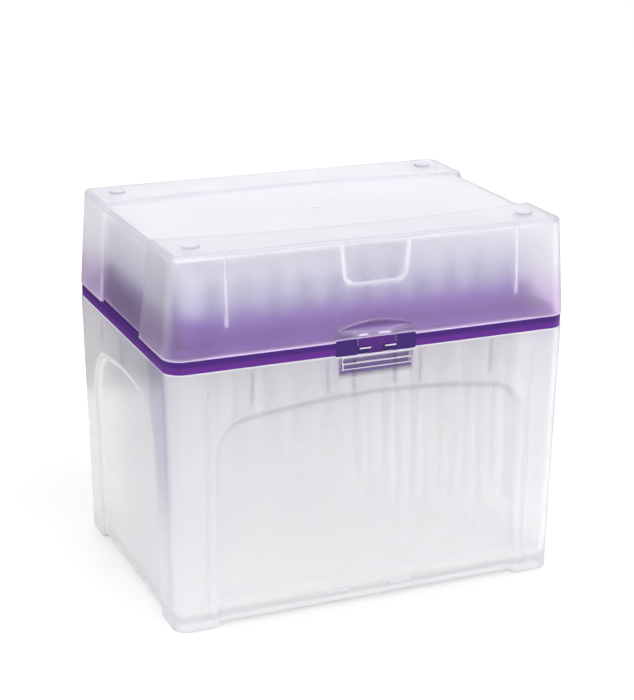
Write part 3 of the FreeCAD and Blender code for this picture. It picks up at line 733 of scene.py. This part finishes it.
# Columns stand along X and rows along Y, about the middle.
def repeat(name, mesh, material, columns=1, rows=1, columnSpacing=0.0, rowSpacing=0.0, middle=(0.0, 0.0, 0.0)):
    single = linkObject(name + "One", mesh)
    piece = linkObject(name, bpy.data.meshes.new(name + "Host"))
    nodes = piece.modifiers.new("copies", "NODES")
    nodes.node_group = copyTree
    values = {"Piece": single, "Columns": columns, "Rows": rows, "Column Spacing": columnSpacing * mm,
              "Row Spacing": rowSpacing * mm, "Middle": tuple(c * mm for c in middle), "Finish": material}
    for label, value in values.items():
        nodes[copySockets[label]] = value
    bpy.context.view_layer.update()
    made = bpy.data.meshes.new_from_object(piece.evaluated_get(bpy.context.evaluated_depsgraph_get()))
    piece.modifiers.clear()
    piece.data = made
    bpy.data.objects.remove(single)
    return piece


def linearColour(hexText):
    values = []
    for i in (1, 3, 5):
        c = int(hexText[i:i + 2], 16) / 255
        values.append(c / 12.92 if c <= 0.04045 else ((c + 0.055) / 1.055) ** 2.4)
    return (*values, 1.0)


def newMaterial(name):
    material = bpy.data.materials.new(name)
    material.use_nodes = True
    material.node_tree.nodes.clear()
    return material, material.node_tree


# A colour multiplied by another one, as far as the share says.
def multiplied(tree, share, colour, hexText):
    return shader(tree, "Mix", {"data_type": "RGBA", "blend_type": "MULTIPLY", 0: share, 6: colour,
                                7: linearColour(hexText)}).outputs[2]


# Painted light and shade on the latch's face, by distance from its middle: the tongue painted lighter, as where
# light catches it, and the band beside it darker.
def latchPaintedLight(tree, place, colour, s):
    parts = shader(tree, "SeparateXYZ", {0: place}).outputs
    across = maths(tree, "ABSOLUTE", parts["X"])
    share = shader(tree, "MapRange", {"Value": across, "From Max": s["half"] * mm})
    ramp = shader(tree, "ValToRGB", {0: share.outputs[0]})
    for stop, x, hexText in zip(ramp.color_ramp.elements, (-s["soft"], s["soft"]), (s["middle"], s["sides"])):
        stop.position = (s["tongue"] + x) / s["half"]
        stop.color = linearColour(hexText)
    here = maths(tree, "MULTIPLY", maths(tree, "LESS_THAN", across, s["half"] * mm),
                 maths(tree, "LESS_THAN", parts["Y"], s["face"] * mm))
    return shader(tree, "Mix", {"data_type": "RGBA", 0: here, 6: colour, 7: ramp.outputs[0]}).outputs[2]


# Polypropylene that scatters the light it lets through. Its colour follows the height (some tints hold painted
# glow and shade), a faint cloud varies colour and roughness, and each point's milk, painted shade and polish
# make it milkier, darker or more polished.
def makePlastic(name, s):
    material, tree = newMaterial(name)
    place = shader(tree, "TexCoord").outputs["Object"]
    cloud = shader(tree, "TexNoise", {"Vector": place, "Scale": s["cloudScale"], "Detail": 3.0}).outputs["Fac"]
    height = shader(tree, "SeparateXYZ", {0: place}).outputs["Z"]
    low, high = s["tints"][0][0], s["tints"][-1][0]
    share = shader(tree, "MapRange", {"Value": height, "From Min": low * mm, "From Max": high * mm})
    ramp = shader(tree, "ValToRGB", {0: share.outputs[0]})
    stops = ramp.color_ramp.elements
    for i, (z, hexText) in enumerate(s["tints"]):
        stop = stops[i] if i < 2 else stops.new(1.0)
        stop.position = (z - low) / (high - low)
        stop.color = linearColour(hexText)
    finish = shader(tree, "Attribute", {"attribute_name": "finish"})
    milk, shade, polish = shader(tree, "SeparateXYZ", {0: finish.outputs["Vector"]}).outputs
    # Painted shade: each point's shade darkens the colour towards the painted shade colour.
    tint = multiplied(tree, shade, ramp.outputs[0], s["paintedShadeColour"])
    if "latch" in s:
        tint = latchPaintedLight(tree, place, tint, s["latch"])
    tint = multiplied(tree, cloud, tint, s["cloudColour"])
    frosted = shader(tree, "MapRange", {"Value": cloud, "To Min": s["roughness"] - s["roughSpread"],
                                        "To Max": s["roughness"] + s["roughSpread"]})
    rough = shader(tree, "Mix", {0: polish, 2: frosted.outputs[0], 3: s["polished"]})
    grain = shader(tree, "TexNoise", {"Vector": place, "Scale": 1000 / s["grain"], "Detail": 2.0})
    bump = shader(tree, "Bump", {"Height": grain.outputs["Fac"], "Strength": s["grainStrength"],
                                 "Distance": s["grain"] * mm})
    body = shader(tree, "BsdfPrincipled", {
        "Base Color": tint, "Roughness": rough.outputs[0], "Normal": bump.outputs[0], "IOR": s["ior"],
        "Specular IOR Level": s["specular"], "Transmission Weight": s["clear"]})
    if s["milky"] != s["clear"]:
        through = shader(tree, "MapRange", {"Value": milk, "To Min": s["clear"], "To Max": s["milky"]})
        tree.links.new(through.outputs[0], body.inputs["Transmission Weight"])
    # Lamps shine on through the plastic, so that what is inside is lit.
    clear = shader(tree, "BsdfTransparent", {"Color": linearColour(s["lampColour"])})
    shadowRay = shader(tree, "LightPath").outputs["Is Shadow Ray"]
    both = shader(tree, "MixShader", {0: maths(tree, "MULTIPLY", shadowRay, s["lampPass"]),
                                      1: body.outputs[0], 2: clear.outputs[0]})
    shader(tree, "OutputMaterial", {"Surface": both.outputs[0]})
    return material


# The lid's frost: tray and tips behind it melt into soft violet and white, as behind matt glass. Tints are
# heights with colours; low down they are painted faintly violet, a painted glow of the tray behind. "clear" and
# "milky" say how much light passes, without and with milk.
lidFrost = {
    "tints": ((80.0, "#F0DFF8"), (87.0, "#F2E4F9"), (91.0, "#F6F0FB"), (96.0, "#FCFCFE"), (111.0, "#FCFCFE")),
    "cloudColour": "#FAFAFC", "cloudScale": 60.0, "paintedShadeColour": "#C8C8D0",
    "roughness": 0.56, "roughSpread": 0.04, "polished": 0.32, "grain": 0.3, "grainStrength": 0.1,
    "ior": 1.49, "specular": 0.42, "clear": 0.97, "milky": 0.1, "lampColour": "#FFFFFF", "lampPass": 0.9,
}
# The base's thicker wall: smoother but cloudier, whitish at foot and rim, with the tip ends just showing. Its
# tint is painted greyer at the very foot, as shade, and faintly violet at the top, as glow of the tray.
baseFrost = {
    **lidFrost,
    "tints": ((0.0, "#F0F0F2"), (3.5, "#F3F3F5"), (6.0, "#FDFDFE"), (60.0, "#FDFDFE"), (72.0, "#FAF8FC"),
              (80.0, "#F6F3FA")),
    "cloudColour": "#FCFCFD", "paintedShadeColour": "#B6B1CC",
    "roughness": 0.14, "roughSpread": 0.02, "polished": 0.14, "clear": 0.96, "milky": 0.2,
}
# Undyed plastic of the tips: watery grey-white, faintly violet where the tray reflects in it.
tipPlastic = {
    **lidFrost,
    "tints": ((20.0, "#E6E7EC"), (60.0, "#ECECF1"), (72.0, "#F8F8FC"), (89.0, "#DEDBF8"), (96.0, "#F2F1FC"),
              (101.5, "#FAFAFE")),
    "roughness": 0.35, "clear": 0.7, "milky": 0.7,
}
# Dyed plastic of the tray: a deep violet with little gloss. Painted shade darkens the groove high in its band,
# and painted light makes the thin skirt below paler.
violetPlastic = {
    **lidFrost,
    "tints": ((71.0, "#7438A4"), (77.0, "#7438A4"), (77.4, "#6B2898"), (78.9, "#67268F"), (79.7, "#471A7A"),
              (81.5, "#471A7A"), (82.0, "#6C2A9C"), (90.0, "#6C2A9C")),
    "cloudColour": "#F0F0FF", "roughness": 0.35, "specular": 0.25, "clear": 0.15, "milky": 0.15,
    "lampColour": "#8050B0", "lampPass": 0.3,
}
# Painted light on the latch: the tongue lighter, the band beside it darker.
latchLightAndShade = {"half": 12.4, "tongue": 5.9, "soft": 0.2, "face": -44.8, "middle": "#57247F", "sides": "#3E1F73"}
# The same plastic, painted nearly black-violet and matt, on a plate deep in the latch's two windows: painted
# shadow of the holes.
violetWindowShadow = {**violetPlastic, "tints": ((71.0, "#3A2468"), (90.0, "#42307A")), "roughness": 0.6}

lidMaterial = makePlastic("frostedPolypropyleneLid", lidFrost)
baseMaterial = makePlastic("frostedPolypropyleneBase", baseFrost)
tipMaterial = makePlastic("naturalPolypropylene", tipPlastic)
violetMaterial = makePlastic("violetPolypropylene", {**violetPlastic, "latch": latchLightAndShade})
windowShadowMaterial = makePlastic("violetPolypropylenePaintedShadow", violetWindowShadow)
print("materials: 5 plastics")

# A tip: collar with fins, bore for the pipette, tapering shaft and open point. It hangs by its collar.
tip = {
    "length": 81.6, "collar": 3.7, "collarHeight": 12.3, "core": 3.3, "ring": 2.2, "fins": 12,
    "bore": 2.8, "boreDepth": 7.0, "shaft": 2.9, "throat": 2.4, "point": 0.75, "pointBore": 0.35,
    "chamfer": 0.3, "pitch": 9.0, "columns": 12, "rows": 8,
}


def tipMesh():
    s = tip
    top, end, floor = s["collarHeight"], s["collarHeight"] - s["length"], s["collarHeight"] - s["boreDepth"]

    def flute(k, r):
        return s["collar"] - s["core"] if k % 3 == 0 and abs(r - s["core"]) < 1e-6 else 0

    profile = [(s["point"], end), (mix(s["point"], s["shaft"], 0.35), mix(end, 0, 0.5)), (s["shaft"], 0),
               (s["core"], 0.0), (s["core"], top - s["ring"]), (s["collar"], top - s["ring"]),
               (s["collar"], top - s["chamfer"]), (s["collar"] - 0.25, top), (s["bore"] + 0.15, top),
               (s["bore"], top - s["chamfer"]), (s["bore"], floor), (s["throat"], floor - 1.0),
               (s["pointBore"], end)]
    bm = bmesh.new()
    turnedProfile(bm, [(r, z, 0.0, 0.0) for r, z in profile], 3 * s["fins"], flute)
    return toMesh("tip", bm, 35)


tips = repeat("tipRack", tipMesh(), tipMaterial, tip["columns"], tip["rows"], tip["pitch"], tip["pitch"],
              (0.0, seatY, columnBox[1].z / mm - tip["collarHeight"]))
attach(tips, "box")
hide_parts(*["tips_column_%02d" % (i + 1) for i in range(tip["columns"])])
print("tips:", len(tips.data.polygons), "faces")

# The hinge: two hooks on the lid, clipped over pins that stand between ears on the base.
hinge = {
    "axis": (case["halfDepth"] + 2.88, case["baseHeight"] + 1.75), "spacing": 64.0, "milk": 0.35,
    "pin": 1.2, "pinEnd": 0.5, "ear": 1.75, "earThickness": 2.0, "earLow": 8.0, "earHigh": 0.9,
    "eye": 2.38, "bore": 1.28, "mouth": 1.9, "hookWidth": 9.0, "hookHigh": 6.0, "hookLow": 0.3, "sideGap": 0.3,
}


def earMesh():
    s = hinge
    bm = bmesh.new()
    half = s["hookWidth"] / 2 + s["sideGap"]
    wallY = case["halfDepth"] - base["wall"] / 2
    outline = [(wallY, case["baseHeight"] - s["earLow"]), *arcPoints(s["axis"], s["ear"], -35, 125, 12),
               (wallY, case["baseHeight"] - s["earHigh"])]
    for x in (-half - s["earThickness"], half):
        prism(bm, outline, x, x + s["earThickness"], 0.25, s["milk"])
    pin = bmesh.new()
    end = half + s["pinEnd"]
    profile = ((thin, -end), (s["pin"], -end), (s["pin"], end), (thin, end))
    turnedProfile(pin, [(r, z, s["milk"], 0.0) for r, z in profile], 24)
    for v in pin.verts:
        x, y, z = v.co
        v.co = (z, x + s["axis"][0] + seatY, y + s["axis"][1])
    addTo(bm, pin)
    return toMesh("hingeEars", bm)


def hookMesh():
    s = hinge
    bm = bmesh.new()
    side = s["mouth"] / 2
    outerTurn = math.degrees(math.acos(side / s["eye"]))
    innerTurn = math.degrees(math.acos(side / s["bore"]))
    wallY = case["halfDepth"] - lid["wall"] * 0.6
    outline = [*arcPoints(s["axis"], s["eye"], -outerTurn, 62, 14),
               (wallY, case["lidBottom"] + s["hookHigh"]), (wallY, case["lidBottom"] + s["hookLow"]),
               *arcPoints(s["axis"], s["eye"], 185, 180 + outerTurn, 6),
               *arcPoints(s["axis"], s["bore"], 180 + innerTurn, -innerTurn, 18)]
    prism(bm, outline, -s["hookWidth"] / 2, s["hookWidth"] / 2, 0.15)
    return toMesh("hingeHook", bm)


hooks = repeat("hooks", hookMesh(), lidMaterial, 2, columnSpacing=hinge["spacing"])
ears = repeat("ears", earMesh(), baseMaterial, 2, columnSpacing=hinge["spacing"])

# Four studs that carry the next box, and the small round mark of the mould's gate; painted shade darkens their
# sides.
stud = {"radius": 2.5, "height": 0.8, "sink": 0.6, "chamfer": 0.25, "spacingX": 102.0, "spacingY": 67.0}
gate = {"radius": 1.1, "height": 0.25, "sink": 0.4, "chamfer": 0.25}


def studMesh(s):
    radius, height, low, soft = s["radius"], s["height"], -s["sink"], s["chamfer"]
    bm = bmesh.new()
    turnedProfile(bm, [(thin, low, 0.2, 0.0), (radius, low, 0.2, 1.0), (radius, 0.0, 0.4, 1.0),
                       (radius, height - soft, 0.25, 0.6), (radius - soft, height, 0.2, 0.0),
                       (thin, height, 0.13, 0.0)], 40)
    return toMesh("stud", bm)


studs = repeat("studs", studMesh(stud), lidMaterial, 2, 2, stud["spacingX"], stud["spacingY"],
               (0.0, seatY, case["lidTop"]))
gateMark = repeat("gateMark", studMesh(gate), lidMaterial,
                  middle=(0.0, seatY, case["lidTop"] - lid["panelDrop"]))

# Guide ribs inside the rim, which hold the tray in place. They are painted in full shade, so they show as short
# dark lines through the wall.
guide = {"width": 1.0, "depth": 0.9, "drop": 1.6, "length": 9.0, "sink": 0.3, "draft": 0.1,
         "spread": (36.8, 14.3, 6.3), "sideRows": 3, "sideSpacing": 19.7}


def ribMesh(quarter):
    s = guide
    bm = bmesh.new()
    wall = base["wall"] - (case["halfWidth"] if quarter in (right, left) else case["halfDepth"])
    high = case["baseHeight"] - s["drop"]
    outline = [(wall - s["sink"], high), (wall + s["depth"], high),
               (wall + s["depth"] + s["draft"], high - s["length"]), (wall - s["sink"], high - s["length"])]
    prism(bm, outline, -s["width"] / 2, s["width"] / 2, 0.2, shade=1.0)
    for v in bm.verts:
        x, y = turned(quarter, v.co.x, seatY - v.co.y)
        v.co.x, v.co.y = x, y + seatY
    return toMesh("guideRib", bm)


ribs = [repeat("guideRibs", ribMesh(quarter), baseMaterial, 2, columnSpacing=2 * spread)
        for quarter in (front, rear) for spread in guide["spread"]]
ribs += [repeat("guideRibs", ribMesh(quarter), baseMaterial, 1, guide["sideRows"], 0.0, guide["sideSpacing"])
         for quarter in (right, left)]

# Pairs of short bars across the front, with their reach in depth from the face and in height: marks by the
# foot of the wall; on the latch a white bar over each window as a painted glint, a painted shadow plate in it,
# and the tongue's side lines as painted highlights.
footMark = {"y": (-0.25, 0.6), "z": (3.2, 4.6), "half": 3.5, "soft": 0.15, "milk": 0.5, "spacing": 20.0,
            "middle": 0.0}
snapGlint = {"y": (-0.1, 0.5), "z": (78.67, 79.03), "half": 1.7, "soft": 0.05, "milk": 1.0, "spacing": 7.8,
            "middle": 0.3}
tongueHighlight = {**snapGlint, "z": (79.7, 81.6), "half": 0.06, "milk": 0.08, "spacing": 11.8, "middle": 0.0}
windowShadowPlate = {**snapGlint, "y": (0.7, 1.0), "z": (77.1, 78.85), "half": 2.1, "milk": 0.0}


def twoBars(name, faceY, material, s):
    bm = bmesh.new()
    (y0, y1), (low, high) = s["y"], s["z"]
    outline = [(faceY + y0, low), (faceY + y0, high), (faceY + y1, high), (faceY + y1, low)]
    prism(bm, outline, -s["half"], s["half"], s["soft"], s["milk"])
    return repeat(name, toMesh(name, bm), material, 2, columnSpacing=s["spacing"], middle=(s["middle"], 0, 0))


latchY = trayBox[0].y / mm - seatY
bars = [twoBars("footMarks", base["leanY"] + base["panelDepth"] - case["halfDepth"], baseMaterial, footMark),
        twoBars("snapEdges", latchY, baseMaterial, snapGlint),
        twoBars("tongueLines", latchY, baseMaterial, tongueHighlight)]
print("small parts: hinge, studs, marks, ribs, latch")


# One piece of a shell and its small parts.
def joined(name, body, slot, material, replaced, mesh, *parts):
    bm = bmesh.new()
    for source in (mesh, *[part.data for part in parts]):
        bm.from_mesh(source)
    whole = bpy.data.meshes.new(name)
    bm.to_mesh(whole)
    bm.free()
    whole.materials.append(material)
    piece = linkObject(name, whole)
    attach(piece, body)
    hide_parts(replaced)
    for part in parts:
        bpy.data.objects.remove(part)
    return piece


lidPiece = joined("lidShell", "lid", "frosted_lid", lidMaterial, "lid", lidMesh, studs, gateMark, hooks)
basePiece = joined("baseShell", "box", "frosted_base", baseMaterial, "base_box", baseMesh, ears, *ribs, *bars)
windowShadows = twoBars("latchWindows", latchY, windowShadowMaterial, windowShadowPlate)
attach(windowShadows, "box")
print("lid:", len(lidPiece.data.polygons), "base:", len(basePiece.data.polygons), "faces")

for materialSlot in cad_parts["tip_tray"].material_slots:
    materialSlot.material = violetMaterial

# A pale studio floor for soft shadows. Its glow lifts it to white, most of all behind the plastic.
floor = {"size": 6.0, "grey": 0.68, "roughness": 0.15, "specular": 0.25, "glow": (0.212, 0.1, 0.56)}


# How bright a ray sees a surface, by shares for camera, glossy and transmitted rays.
def whiteRays(tree, shares):
    rays = shader(tree, "LightPath").outputs
    camera, glossy, through = [maths(tree, "MULTIPLY", rays[name], share) for name, share in zip(
        ("Is Camera Ray", "Is Glossy Ray", "Is Transmission Ray"), shares)]
    return maths(tree, "MAXIMUM", maths(tree, "MAXIMUM", camera, glossy), through)


def flatPiece(name, corners, material):
    mesh = bpy.data.meshes.new(name)
    mesh.from_pydata(corners, [], [(0, 1, 2, 3)])
    mesh.materials.append(material)
    return linkObject(name, mesh)


def makeFloor(s):
    half = s["size"] / 2
    material, tree = newMaterial("studioFloor")
    body = shader(tree, "BsdfPrincipled", {"Base Color": (s["grey"], s["grey"], s["grey"], 1),
                                           "Roughness": s["roughness"], "Specular IOR Level": s["specular"]})
    light = shader(tree, "Emission", {"Color": (1, 1, 1, 1), "Strength": whiteRays(tree, s["glow"])})
    both = shader(tree, "AddShader", {0: body.outputs[0], 1: light.outputs[0]})
    shader(tree, "OutputMaterial", {"Surface": both.outputs[0]})
    corners = [(-half, -half, 0), (half, -half, 0), (half, half, 0), (-half, half, 0)]
    flatPiece("floor", corners, material)


# Dark felt behind the box. Only rays off and through the plastic meet it, which gives them contrast.
flag = {"width": 0.36, "length": 0.45, "grey": 0.06, "roughness": 0.95, "place": (-0.16, 0.12, 0.005),
        "rise": 25, "turn": 20}


def addFlag(s):
    half, length = s["width"] / 2, s["length"]
    material, tree = newMaterial("darkFelt")
    body = shader(tree, "BsdfPrincipled", {"Base Color": (s["grey"], s["grey"], s["grey"], 1),
                                           "Roughness": s["roughness"]})
    shader(tree, "OutputMaterial", {"Surface": body.outputs[0]})
    felt = flatPiece("flag", [(-half, 0, 0), (half, 0, 0), (half, length, 0), (-half, length, 0)], material)
    felt.location = s["place"]
    felt.rotation_euler = (math.radians(s["rise"]), 0, math.radians(s["turn"]))
    felt.visible_camera = False
    felt.visible_shadow = False
    felt.visible_diffuse = False


# Soft light from all round, white where it is seen directly, and three large lamps.
studio = {"sky": 0.78, "white": 1.0, "seen": (1.0, 1.0, 1.0)}
lamps = {
    "keyLamp": {"place": (0.5, -0.8, 0.9), "aim": (0, 0, 0.06), "size": 1.1, "power": 8.1},
    "topLamp": {"place": (-0.1, 0.3, 1.2), "aim": (0, 0, 0.1), "size": 0.8, "power": 3.9},
    "sideLamp": {"place": (-1.0, -0.3, 0.5), "aim": (0, 0, 0.06), "size": 0.6, "power": 3.1},
}


def makeWorld(s):
    world = bpy.data.worlds.new("studio")
    bpy.context.scene.world = world
    world.use_nodes = True
    tree = world.node_tree
    tree.nodes.clear()
    sky = shader(tree, "Background", {"Color": (1, 1, 1, 1), "Strength": s["sky"]})
    white = shader(tree, "Background", {"Color": (1, 1, 1, 1), "Strength": s["white"]})
    both = shader(tree, "MixShader", {0: whiteRays(tree, s["seen"]), 1: sky.outputs[0], 2: white.outputs[0]})
    shader(tree, "OutputWorld", {"Surface": both.outputs[0]})


def addLamp(name, s):
    data = bpy.data.lights.new(name, "AREA")
    data.shape = "SQUARE"
    data.size = s["size"]
    data.energy = s["power"]
    lamp = bpy.data.objects.new(name, data)
    lamp.location = s["place"]
    lamp.rotation_euler = (Vector(s["aim"]) - Vector(s["place"])).to_track_quat("-Z", "Y").to_euler()
    bpy.context.scene.collection.objects.link(lamp)


makeFloor(floor)
addFlag(flag)
makeWorld(studio)
for name, s in lamps.items():
    addLamp(name, s)
print("studio: floor, felt, sky and", len(lamps), "lamps")

# The camera stands in front, a little to the left and above.
view = {"azimuth": -23.03, "elevation": 18.48, "distance": 550.5, "target": (0.58, seatY, 64.0), "roll": 0.42,
        "lens": 93.31, "sensor": 36.0}


def placeCamera(s):
    azimuth, elevation = math.radians(s["azimuth"]), math.radians(s["elevation"])
    back = Vector((math.sin(azimuth) * math.cos(elevation), -math.cos(azimuth) * math.cos(elevation),
                   math.sin(elevation)))
    data = bpy.data.cameras.new("camera")
    data.lens = s["lens"]
    data.sensor_width = s["sensor"]
    camera = bpy.data.objects.new("camera", data)
    place = Matrix.Translation((Vector(s["target"]) + back * s["distance"]) * mm)
    camera.matrix_world = (place @ back.to_track_quat("Z", "Y").to_matrix().to_4x4()
                           @ Matrix.Rotation(math.radians(s["roll"]), 4, "Z"))
    bpy.context.scene.collection.objects.link(camera)
    bpy.context.scene.camera = camera


placeCamera(view)
bpy.context.scene.view_settings.view_transform = "Standard"
print("camera placed")

bpy.context.view_layer.update()
